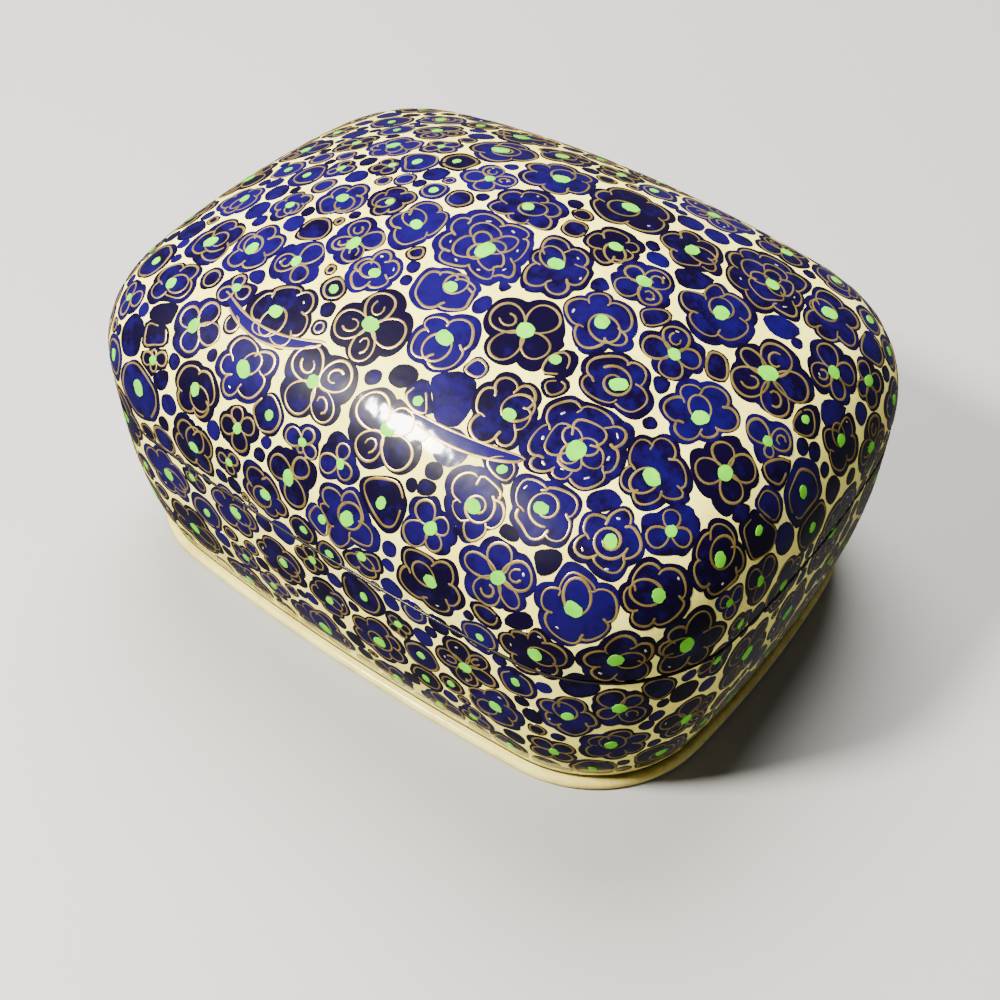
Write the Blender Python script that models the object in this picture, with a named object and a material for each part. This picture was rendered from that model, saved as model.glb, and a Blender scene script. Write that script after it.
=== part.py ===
"""A papier-mache trinket box: tucked-in walls on a thin foot board, and a pillow-shaped lid that lifts off.

The box stands on z = 0 with its long side along X. Seen from above, its sides are shallow
arcs that meet in round corners. Every wall is a stack of such outlines, one above another,
and each is named by how far it lies inside the widest one.
"""

import math

import bmesh
import bpy

# Outline at the widest part of the walls, seen from above, in metres.
BOX_LENGTH = 0.127
BOX_WIDTH = 0.097
LONG_SIDE_RADIUS = 0.469
END_RADIUS = 0.24
CORNER_RADIUS = 0.0266
ROUNDEST_CORNER = 0.9  # A corner's radius is at most this share of the outline's half width.
SHARPEST_CORNER = 0.002  # An outline far inside the widest one keeps at least this corner radius.

# Heights above the table.
FOOT_HEIGHT = 0.0020
SEAM_HEIGHT = 0.0335

# Foot board.
FOOT_PROJECTION = 0.0012
FOOT_EDGE_RADIUS = 0.0009
FOOT_EDGE_SHARE = 0.45  # The edge's radius is at most this share of the board's height.

# Walls. The foot of the wall is tucked in, most quickly near the bottom.
WALL = 0.0030
FLOOR = 0.0030
FLOOR_FILLET = 0.0030
FOOT_TUCK = 0.0042
TUCK_POWER = 2.65

# Lid. Its wall turns in over a soft shoulder, and the whole top is crowned.
LID_WALL_RUN = 0.0033
SHOULDER_REACH = 0.01445
SHOULDER_RISE = 0.0136
SHOULDER_POWER = 2.3
CROWN_RISE = 0.01985

# Collar inside the lower box, over which the lid drops.
COLLAR_HEIGHT = 0.0050
COLLAR_DEPTH = 0.0060
COLLAR_WALL = 0.0016
COLLAR_LEAD_IN = 0.0005

# Clearances.
GLUE_GAP = 0.0003
SEAM_GAP = 0.0004
LID_CLEARANCE = 0.0004
EDGE_ROUND = 0.0004

# Facets.
CORNER_STEPS = 9
HALF_SIDE_STEPS = 3
HALF_END_STEPS = 2
WALL_STEPS = 7
SHOULDER_STEPS = 9
FILLET_STEPS = 3
CROWN_SCALES = (0.75, 0.5, 0.25)

HALF_LENGTH = BOX_LENGTH / 2
HALF_WIDTH = BOX_WIDTH / 2
SIDE_CENTRE = (0.0, HALF_WIDTH - LONG_SIDE_RADIUS)
END_CENTRE = (HALF_LENGTH - END_RADIUS, 0.0)
WALL_FOOT = FOOT_HEIGHT + GLUE_GAP
LID_EDGE = SEAM_HEIGHT + SEAM_GAP
SHOULDER_START = LID_EDGE + LID_WALL_RUN


def corner_centre(inset, radius):
    """Centre of the corner circle that touches the long side's and the end's arcs from inside."""
    side_gap = LONG_SIDE_RADIUS - inset - radius
    end_gap = END_RADIUS - inset - radius
    side_x, side_y = SIDE_CENTRE[0] - END_CENTRE[0], SIDE_CENTRE[1] - END_CENTRE[1]
    apart = math.hypot(side_x, side_y)
    along = (end_gap**2 - side_gap**2 + apart**2) / (2 * apart)
    across = math.sqrt(end_gap**2 - along**2)
    x = END_CENTRE[0] + (side_x * along - side_y * across) / apart
    y = END_CENTRE[1] + (side_y * along + side_x * across) / apart
    return x, y


def arc(centre, radius, start, end, steps):
    """Points of an arc from one angle to another, without its last point."""
    angles = [start + (end - start) * step / steps for step in range(steps)]
    return [(centre[0] + radius * math.cos(a), centre[1] + radius * math.sin(a)) for a in angles]


def outline(inset):
    """Points of the outline that lies inset inside the widest one, anticlockwise from above."""
    radius = max(CORNER_RADIUS - inset, SHARPEST_CORNER)
    radius = min(radius, ROUNDEST_CORNER * (min(HALF_LENGTH, HALF_WIDTH) - inset))
    corner = corner_centre(inset, radius)
    corner_start = math.atan2(corner[1] - END_CENTRE[1], corner[0] - END_CENTRE[0])
    corner_end = math.atan2(corner[1] - SIDE_CENTRE[1], corner[0] - SIDE_CENTRE[0])
    quarter = arc(END_CENTRE, END_RADIUS - inset, 0, corner_start, HALF_END_STEPS)
    quarter += arc(corner, radius, corner_start, corner_end, CORNER_STEPS)
    quarter += arc(SIDE_CENTRE, LONG_SIDE_RADIUS - inset, corner_end, math.pi / 2, HALF_SIDE_STEPS)
    half = quarter + [(0, HALF_WIDTH - inset)] + [(-x, y) for x, y in quarter[:0:-1]]
    return half + [(-x, -y) for x, y in half]


def crown(x, y):
    """How far the lid's top is raised at a point: nothing at the sides, the most in the middle."""
    return CROWN_RISE * (1 - (x / HALF_LENGTH) ** 2) * (1 - (y / HALF_WIDTH) ** 2)


def flat_ring(inset, z):
    """An outline at one height."""
    return [(x, y, z) for x, y in outline(inset)]


def crowned_ring(inset, z):
    """An outline of the lid's shoulder, lifted by the crown."""
    return [(x, y, z + crown(x, y)) for x, y in outline(inset)]


def wall_inset(z):
    """How far the lower box's outer skin is tucked in at a height."""
    share = (SEAM_HEIGHT - z) / (SEAM_HEIGHT - WALL_FOOT)
    return FOOT_TUCK * max(share, 0) ** TUCK_POWER


def shoulder_point(step):
    """Inset and height of the lid's outer skin, from the wall at step 0 to the top at the last step."""
    angle = math.pi / 2 * step / SHOULDER_STEPS
    inward = max(math.cos(angle), 0) ** (2 / SHOULDER_POWER)
    upward = math.sin(angle) ** (2 / SHOULDER_POWER)
    return SHOULDER_REACH * (1 - inward), SHOULDER_START + SHOULDER_RISE * upward


def shoulder_normal(step):
    """Unit direction into the wall at a point of the shoulder, as inset and height."""
    if step == 0:
        return 1.0, 0.0
    if step == SHOULDER_STEPS:
        return 0.0, -1.0
    before = shoulder_point(step - 0.5)
    after = shoulder_point(step + 0.5)
    inward = after[0] - before[0]
    upward = after[1] - before[1]
    length = math.hypot(inward, upward)
    return upward / length, -inward / length


def lid_skin(depth):
    """Rings of the lid from its wall to near the middle of its top, on a skin that lies depth inside the outer one."""
    rings = []
    for step in range(SHOULDER_STEPS + 1):
        inset, z = shoulder_point(step)
        inward, upward = shoulder_normal(step)
        rings.append(crowned_ring(inset + inward * depth, z + upward * depth))
    top = rings[-1]
    level = SHOULDER_START + SHOULDER_RISE - depth
    for scale in CROWN_SCALES:
        rings.append(
            [(x * scale, y * scale, level + crown(x * scale, y * scale)) for x, y, _ in top]
        )
    return rings, (0.0, 0.0, level + crown(0, 0))


def lid_rings():
    """The lid's surface as one run of rings, from the middle of its ceiling, round its edge, to the middle of its top."""
    inner, ceiling = lid_skin(WALL)
    outer, top = lid_skin(0.0)
    edge = [
        flat_ring(WALL, LID_EDGE + EDGE_ROUND),
        flat_ring(WALL - EDGE_ROUND, LID_EDGE),
        flat_ring(EDGE_ROUND, LID_EDGE),
        flat_ring(0.0, LID_EDGE + EDGE_ROUND),
    ]
    return ceiling, inner[::-1] + edge + outer, top


def body_rings():
    """The lower box as one run of rings, from the floor, up inside, over the collar and rim, and down outside."""
    collar_outside = WALL + LID_CLEARANCE
    collar_inside = collar_outside + COLLAR_WALL
    collar_top = SEAM_HEIGHT + COLLAR_HEIGHT
    collar_foot = SEAM_HEIGHT - COLLAR_DEPTH
    floor_top = WALL_FOOT + FLOOR
    slope_foot = collar_foot - (collar_inside - WALL)
    rings = []
    for step in range(FILLET_STEPS + 1):
        angle = math.pi / 2 * step / FILLET_STEPS
        z = floor_top + FLOOR_FILLET * (1 - math.cos(angle))
        inset = wall_inset(z) + WALL + FLOOR_FILLET * (1 - math.sin(angle))
        rings.append(flat_ring(inset, z))
    for step in range(1, WALL_STEPS):
        start = floor_top + FLOOR_FILLET
        z = start + (slope_foot - start) * step / (WALL_STEPS - 1)
        rings.append(flat_ring(wall_inset(z) + WALL, z))
    rings += [
        flat_ring(collar_inside, collar_foot),
        flat_ring(collar_inside, collar_top),
        flat_ring(collar_outside + COLLAR_LEAD_IN, collar_top),
        flat_ring(collar_outside, collar_top - COLLAR_LEAD_IN),
        flat_ring(collar_outside, SEAM_HEIGHT),
        flat_ring(EDGE_ROUND, SEAM_HEIGHT),
    ]
    for step in range(WALL_STEPS + 1):
        start = SEAM_HEIGHT - EDGE_ROUND
        z = start + (WALL_FOOT - start) * step / WALL_STEPS
        rings.append(flat_ring(wall_inset(z), z))
    return rings


def foot_rings():
    """The foot board as rings from its underside to its top, with rounded edges."""
    rim = FOOT_TUCK - FOOT_PROJECTION
    edge = min(FOOT_EDGE_RADIUS, FOOT_EDGE_SHARE * FOOT_HEIGHT)
    rings = []
    for centre_z, first in ((edge, -1), (FOOT_HEIGHT - edge, 0)):
        for step in range(FILLET_STEPS + 1):
            angle = math.pi / 2 * (first + step / FILLET_STEPS)
            inset = rim + edge * (1 - math.cos(angle))
            rings.append(flat_ring(inset, centre_z + edge * math.sin(angle)))
    return rings


def solid_from_rings(name, rings, material, start_pole=None, end_pole=None):
    """One closed solid: bands of faces between the rings, and at each end a flat cap or a fan to a pole."""
    mesh = bpy.data.meshes.new(name)
    shape = bmesh.new()
    loops = [[shape.verts.new(point) for point in ring] for ring in rings]
    count = len(loops[0])
    for lower, upper in zip(loops, loops[1:]):
        for i in range(count):
            j = (i + 1) % count
            shape.faces.new((lower[i], lower[j], upper[j], upper[i]))
    for loop, pole in ((loops[0], start_pole), (loops[-1], end_pole)):
        if pole is None:
            shape.faces.new(loop)
            continue
        tip = shape.verts.new(pole)
        for i in range(count):
            shape.faces.new((loop[i], loop[(i + 1) % count], tip))
    bmesh.ops.recalc_face_normals(shape, faces=shape.faces)
    shape.to_mesh(mesh)
    shape.free()
    mesh.shade_smooth()
    mesh.set_sharp_from_angle(angle=math.radians(35))
    mesh.materials.append(material)
    solid = bpy.data.objects.new(name, mesh)
    bpy.context.scene.collection.objects.link(solid)
    return solid


def lacquer(name, colour, roughness):
    """A plain glossy lacquer of one colour."""
    material = bpy.data.materials.new(name)
    material.use_nodes = True
    shader = material.node_tree.nodes["Principled BSDF"]
    shader.inputs["Base Color"].default_value = (*colour, 1.0)
    shader.inputs["Roughness"].default_value = roughness
    shader.inputs["Metallic"].default_value = 0.0
    return material


def build():
    for old in list(bpy.data.objects):
        bpy.data.objects.remove(old)
    painted = lacquer("painted_lacquer", (0.10, 0.10, 0.32), 0.18)
    cream = lacquer("cream_lacquer", (0.76, 0.68, 0.40), 0.25)
    solid_from_rings("foot_board", foot_rings(), cream)
    solid_from_rings("box_body", body_rings(), painted)
    ceiling, rings, top = lid_rings()
    solid_from_rings("lid", rings, painted, start_pole=ceiling, end_pole=top)


build()
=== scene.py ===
import functools
import math
from collections import namedtuple

import bpy
import numpy as np
from bpy.props import FloatProperty, FloatVectorProperty, IntProperty, PointerProperty
from mathutils import Matrix, Vector


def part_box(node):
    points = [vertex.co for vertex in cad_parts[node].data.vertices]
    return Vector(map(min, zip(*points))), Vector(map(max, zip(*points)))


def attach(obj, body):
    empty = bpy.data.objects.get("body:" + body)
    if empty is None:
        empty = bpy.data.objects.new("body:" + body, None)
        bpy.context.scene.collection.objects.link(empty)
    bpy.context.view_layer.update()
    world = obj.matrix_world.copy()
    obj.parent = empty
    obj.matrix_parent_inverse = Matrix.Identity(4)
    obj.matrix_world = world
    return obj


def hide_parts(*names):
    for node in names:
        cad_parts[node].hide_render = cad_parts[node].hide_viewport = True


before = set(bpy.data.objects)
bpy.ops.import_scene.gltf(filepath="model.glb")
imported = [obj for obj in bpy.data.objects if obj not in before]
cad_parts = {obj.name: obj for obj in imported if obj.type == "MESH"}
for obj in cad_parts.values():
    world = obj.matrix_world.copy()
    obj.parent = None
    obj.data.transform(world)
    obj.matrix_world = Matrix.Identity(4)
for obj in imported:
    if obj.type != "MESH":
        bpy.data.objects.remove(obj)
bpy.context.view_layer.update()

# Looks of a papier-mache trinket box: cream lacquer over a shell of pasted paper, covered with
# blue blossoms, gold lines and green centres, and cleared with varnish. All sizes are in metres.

bl_info = {
    "name": "Papier-mache trinket box",
    "version": (1, 0, 0),
    "blender": (4, 5, 0),
    "location": "View3D > Sidebar > Trinket box",
    "description": "Builds the painted shells, blossoms and gold lines of a papier-mache trinket box",
    "category": "Add Mesh",
}

LID_LOW, LID_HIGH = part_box("lid")
BODY_LOW, BODY_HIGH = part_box("box_body")
FOOT_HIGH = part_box("foot_board")[1]
WALL_FOOT = BODY_LOW.z
LID_EDGE = LID_LOW.z

# The shells lie this far inside the solids, so that the paint on them stays within the solids' size.
PAINT_DEPTH = 0.00022
HALF_LENGTH = LID_HIGH.x - PAINT_DEPTH
HALF_WIDTH = LID_HIGH.y - PAINT_DEPTH
TOP = LID_HIGH.z - PAINT_DEPTH

TURN = 2 * math.pi
ONE_BODY = "root"
FRAME_MM = 36.0
FOOT_EDGE_SHARE = 0.45

# How the photograph was taken: the camera's turn round the box, its height and its roll in degrees,
# its distance from the point that it looks at, its lens on the frame, and that point.
View = namedtuple("View", "azimuth elevation roll distance lens target")
PICTURE_VIEW = View(37.098, 46.535, 0.367, 0.2249, 49.55, (0.01645, -0.02071, 0.03175))


def length_setting(name, description, default):
    """A named length in metres."""
    return FloatProperty(
        name=name, description=description, default=default, min=0.0, precision=5, unit="LENGTH"
    )


def number_setting(name, description, default):
    """A named plain number."""
    return FloatProperty(name=name, description=description, default=default)


def colour_setting(name, description, default):
    """A named colour, as linear red, green and blue."""
    return FloatVectorProperty(
        name=name, description=description, default=default, size=3, min=0.0, max=1.0, subtype="COLOR"
    )


class BoxSizes(bpy.types.PropertyGroup):
    """Shape of the shells, as in the solids of the part."""

    side_radius: length_setting("Side radius", "Radius of the long sides seen from above", 0.469)
    end_radius: length_setting("End radius", "Radius of the ends seen from above", 0.24)
    corner_radius: length_setting("Corner radius", "Radius of the upright corners", 0.0266)
    wall: length_setting("Wall", "Thickness of the pasted paper", 0.003)
    seam_gap: length_setting("Seam gap", "Gap between the lid's edge and the lower box", 0.0004)
    foot_tuck: length_setting("Foot tuck", "How far the wall's foot is tucked in", 0.0042)
    tuck_power: number_setting("Tuck power", "How late the wall turns in", 2.65)
    lid_wall_run: length_setting("Lid wall run", "Upright part of the lid's wall", 0.0033)
    shoulder_reach: length_setting("Shoulder reach", "How far in the lid's shoulder runs", 0.01445)
    shoulder_rise: length_setting("Shoulder rise", "Height of the lid's shoulder", 0.0136)
    shoulder_power: number_setting("Shoulder power", "Fullness of the shoulder", 2.3)
    edge_round: length_setting("Edge round", "Rounding of the lid's and the lower box's edges", 0.0003)
    collar_height: length_setting("Collar height", "Collar standing above the seam", 0.005)
    collar_depth: length_setting("Collar depth", "Collar below the seam", 0.006)
    collar_wall: length_setting("Collar wall", "Thickness of the collar", 0.0016)
    lid_clearance: length_setting("Lid clearance", "Room between the collar and the lid", 0.0004)
    floor_fillet: length_setting("Floor fillet", "Rounding between floor and wall inside", 0.003)
    foot_edge: length_setting("Foot edge", "Rounding of the foot board's edges", 0.0009)


class PaintSettings(bpy.types.PropertyGroup):
    """Layout, sizes and colours of the painting."""

    seed: IntProperty(name="Seed", description="Seed of the painter's hand", default=11)
    film: length_setting("Paint film", "Least height of the blue paint over the ground", 0.00003)
    film_spread: length_setting("Film spread", "How much thicker the blue of some blossoms is", 0.00002)
    line_width: length_setting("Line width", "Width of a gold line", 0.00045)
    line_height: length_setting("Line height", "Height of a gold line over the blue", 0.00006)
    sunk: length_setting("Sunk edge", "How far the edges of the paint are sunk", 0.000015)
    overlap: length_setting("Overlap", "How far the blue of two neighbours runs over each other", 0.0002)
    border: length_setting("Plain border", "Plain ground above the wall's foot", 0.0018)
    margin: length_setting("Line margin", "Blue left outside the gold lines", 0.00058)
    line_step: length_setting("Line step", "Spacing of the points along a line", 0.0006)
    cream: colour_setting("Cream", "Lacquered ground", (0.95, 0.86, 0.17))
    straw: colour_setting("Straw", "Yellowed patches of the ground", (0.86, 0.73, 0.12))
    navy: colour_setting("Navy", "Thick blue paint", (0.0021, 0.0005, 0.0105))
    ultramarine: colour_setting("Ultramarine", "Thin blue paint", (0.0054, 0.0006, 0.061))
    gold: colour_setting("Gold", "Gold lines", (0.37, 0.26, 0.066))
    leaf: colour_setting("Leaf green", "Centres of the blossoms", (0.115, 0.57, 0.003))
    white: colour_setting("White", "Small pale touches", (0.86, 0.84, 0.66))
    olive: colour_setting("Olive", "Dark line above the foot", (0.03, 0.026, 0.01))
    # Black is the lacquer inside the box, and is also laid on the rounded edges at the seam as painted
    # shade of the seam gap.
    black: colour_setting("Black", "Lacquer inside the box", (0.012, 0.011, 0.011))


class StageSettings(bpy.types.PropertyGroup):
    """Camera, floor and lights."""

    azimuth: number_setting("Azimuth", "Camera's turn round the box, degrees", PICTURE_VIEW.azimuth)
    elevation: number_setting("Elevation", "Camera's height, degrees", PICTURE_VIEW.elevation)
    roll: number_setting("Roll", "Camera's turn about its own view, degrees", PICTURE_VIEW.roll)
    distance: length_setting("Distance", "Camera to the point that it looks at", PICTURE_VIEW.distance)
    lens: number_setting("Lens", "Focal length on a 36 mm frame", PICTURE_VIEW.lens)
    target: FloatVectorProperty(
        name="Target", description="Point that the camera looks at",
        default=PICTURE_VIEW.target, unit="LENGTH",
    )
    floor_size: length_setting("Floor size", "Side of the pale floor", 6.0)
    floor_colour: colour_setting("Floor colour", "Pale floor", (0.33, 0.326, 0.318))


def box_settings():
    """The shape's and the painting's settings."""
    return bpy.context.scene.trinket_box, bpy.context.scene.trinket_box_paint


def rounded(values):
    """Settings as plain numbers, so that work on them can be kept."""
    return tuple(round(float(value), 9) for value in values)


# Points on a quarter of the outline: along the end, round the corner and along the long side.
END_POINTS, CORNER_POINTS, SIDE_POINTS = 12, 26, 20


@functools.cache
def rim_lines(side_radius, end_radius, corner_radius):
    """The widest outline from above as points and outward directions, and where its corner circle lies.

    Each quarter is three arcs that meet in line: the end's, the corner's and the long side's. A
    point is the arc's centre plus its radius times the outward direction, so a line that lies
    inset inside the outline is every point moved back along its direction by inset.
    """
    end = np.array([HALF_LENGTH - end_radius, 0.0])
    side = np.array([0.0, HALF_WIDTH - side_radius])
    end_gap = end_radius - corner_radius
    side_gap = side_radius - corner_radius
    apart = np.hypot(*(side - end))
    along = (end_gap**2 - side_gap**2 + apart**2) / (2 * apart)
    across = math.sqrt(end_gap**2 - along**2)
    ahead = (side - end) / apart
    corner = end + ahead * along + np.array([-ahead[1], ahead[0]]) * across
    first = math.atan2(*(corner - end)[::-1])
    last = math.atan2(*(corner - side)[::-1])
    stretches = (
        (end, end_radius, np.linspace(0, first, END_POINTS, endpoint=False)),
        (corner, corner_radius, np.linspace(first, last, CORNER_POINTS, endpoint=False)),
        (side, side_radius, np.linspace(last, math.pi / 2, SIDE_POINTS)),
    )
    points, outward = [], []
    for centre, radius, angles in stretches:
        facing = np.column_stack([np.cos(angles), np.sin(angles)])
        points.append(centre + radius * facing)
        outward.append(facing)
    around = []
    for quarter in (np.concatenate(points), np.concatenate(outward)):
        mirrored = quarter[::-1] * (-1, 1)
        half = np.concatenate([quarter, mirrored[1:-1]])
        around.append(np.concatenate([half, -half]))
    return around[0], around[1], end, side, corner, first, last


def rim(sizes):
    """The outline for these sizes."""
    return rim_lines(*rounded((sizes.side_radius, sizes.end_radius, sizes.corner_radius)))


def seam_height(sizes):
    """Top of the lower box's outer wall."""
    return LID_EDGE - sizes.seam_gap


def shoulder_start(sizes):
    """Height at which the lid's wall begins to turn in."""
    return LID_EDGE + sizes.lid_wall_run


def crown(sizes, x, y):
    """The lid's lift: a parabola across the length times one across the width, nothing at the sides."""
    most = TOP - shoulder_start(sizes) - sizes.shoulder_rise
    return most * (1 - (x / HALF_LENGTH) ** 2) * (1 - (y / HALF_WIDTH) ** 2)


def wall_inset(sizes, z):
    """The lower wall's tuck: a power of the share of the way down from the seam."""
    seam = seam_height(sizes)
    return sizes.foot_tuck * np.clip((seam - z) / (seam - WALL_FOOT), 0, 1) ** sizes.tuck_power


def carried(sizes, insets, heights, crowned=False):
    """A profile of insets and heights carried round the outline, as rows of points."""
    points, outward = rim(sizes)[:2]
    insets, heights = np.asarray(insets, float), np.asarray(heights, float)
    flat = points[None] - insets[:, None, None] * outward[None]
    z = np.broadcast_to(heights[:, None], flat.shape[:2])
    if crowned:
        z = z + crown(sizes, flat[..., 0], flat[..., 1])
    return np.concatenate([flat, z[..., None]], axis=2)


def shoulder_rows(sizes, depth, steps=30, top_steps=26):
    """The lid from its wall to its pole, on a skin depth inside the outer one.

    The shoulder is a quarter of a superellipse, moved inward along its normal by depth, carried
    round the outline and lifted by the crown. The top is the last row, shrunk towards the middle.
    """
    angle = np.linspace(0, math.pi / 2, steps + 1)
    power = 2 / sizes.shoulder_power
    inset = sizes.shoulder_reach * (1 - np.clip(np.cos(angle), 0, 1) ** power)
    height = shoulder_start(sizes) + sizes.shoulder_rise * np.sin(angle) ** power
    across, up = np.gradient(inset), np.gradient(height)
    across[0], up[-1] = 0.0, 0.0
    length = np.hypot(across, up)
    turned = carried(sizes, inset + depth * up / length, height - depth * across / length, crowned=True)
    shrink = np.linspace(1, 0, top_steps + 1)[1:-1]
    top = turned[-1][None] * shrink[:, None, None]
    level = shoulder_start(sizes) + sizes.shoulder_rise - depth
    top[..., 2] = level + crown(sizes, top[..., 0], top[..., 1])
    return np.concatenate([turned, top]), np.array([0.0, 0.0, level + crown(sizes, 0.0, 0.0)])


def quarter_turn(start, end, steps):
    """Cosines and sines along part of a circle."""
    angle = np.linspace(start, end, steps + 1) * math.pi / 2
    return np.cos(angle), np.sin(angle)


def inset_at(sizes, x, y):
    """How far a point lies inside the widest outline: radius less the distance to the arc's centre."""
    end, side, corner, first, last = rim(sizes)[2:]
    x, y = np.abs(x), np.abs(y)
    facing = np.arctan2(y - corner[1], x - corner[0])
    from_end = sizes.end_radius - np.hypot(x - end[0], y)
    from_side = sizes.side_radius - np.hypot(x, y - side[1])
    from_corner = sizes.corner_radius - np.hypot(x - corner[0], y - corner[1])
    return np.where((facing > first) & (facing < last), from_corner, np.minimum(from_end, from_side))


def outside_by(sizes, points):
    """Signed distance outside the closed box's skin, near enough to settle a point on it.

    Below the seam it is the wall's tuck less the inset. Above, the inset run and the crowned rise
    are each taken as shares of the shoulder and joined by the superellipse's formula.
    """
    x, y, z = points[..., 0], points[..., 1], points[..., 2]
    inset = inset_at(sizes, x, y)
    reach, power = sizes.shoulder_reach, sizes.shoulder_power
    rise = np.clip((z - shoulder_start(sizes) - crown(sizes, x, y)) / sizes.shoulder_rise, 0, None)
    run = np.clip((reach - inset) / reach, 0, None)
    lid = ((run**power + rise**power) ** (1 / power) - 1) * reach
    return np.where(z < seam_height(sizes), wall_inset(sizes, z) - inset, lid)


def slope_at(sizes, points, reach=1e-5):
    """Change of the distance along each axis, from two nearby points on each."""
    slope = np.empty_like(points)
    for axis in range(3):
        step = np.zeros(3)
        step[axis] = reach
        slope[..., axis] = outside_by(sizes, points + step) - outside_by(sizes, points - step)
    return slope / (2 * reach)


def settled(sizes, points, rounds=2):
    """Points moved onto the skin along its slope, and the outward direction there."""
    for _ in range(rounds):
        slope = slope_at(sizes, points)
        steep = np.sum(slope**2, axis=-1, keepdims=True)
        points = points - outside_by(sizes, points)[..., None] * slope / steep
    return points, slope / np.sqrt(steep)


def spots_on_skin(sizes, paint, rng, count, wall_rows=24):
    """Points spread evenly at random over the painted skin, from above the foot to the top."""
    seam = seam_height(sizes)
    heights = np.linspace(WALL_FOOT + paint.border, seam, wall_rows)
    wall = carried(sizes, wall_inset(sizes, heights), heights)
    turned, pole = shoulder_rows(sizes, 0.0)
    rows = np.concatenate([wall, turned, np.broadcast_to(pole, (1,) + turned.shape[1:])])
    rows = np.concatenate([rows, rows[:, :1]], axis=1)
    low, high = rows[:-1, :-1], rows[1:, 1:]
    across, up = rows[:-1, 1:], rows[1:, :-1]
    area = np.linalg.norm(np.cross(high - low, up - across), axis=2).ravel() / 2
    chosen = rng.choice(area.size, count, p=area / area.sum())
    s, t = rng.random((2, count, 1))
    low, high, across, up = (part.reshape(-1, 3)[chosen] for part in (low, high, across, up))
    spots = (1 - s) * (1 - t) * low + s * (1 - t) * across + (1 - s) * t * up + s * t * high
    return settled(sizes, spots)[0]


# Radii of the blossoms and buds that the painter sets out, largest first: how many, least and most.
BLOSSOM_SIZES = (
    (10, 0.0080, 0.0094),
    (46, 0.0063, 0.0074),
    (110, 0.0050, 0.0062),
    (180, 0.0034, 0.0049),
    (260, 0.0019, 0.0030),
    (420, 0.0011, 0.0018),
)

# Room between neighbours (less than nothing: their blue meets), how far a place may be from the
# tightest one and still be taken, for the largest and for the rest, how far a blossom may reach
# over the plain border, and how many places are tried.
SPACING = -0.0004
LOOSE_CHANCE, SNUG_CHANCE = 0.03, 0.0022
OVER_BORDER = 0.0006
PLACES = 60000
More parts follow.
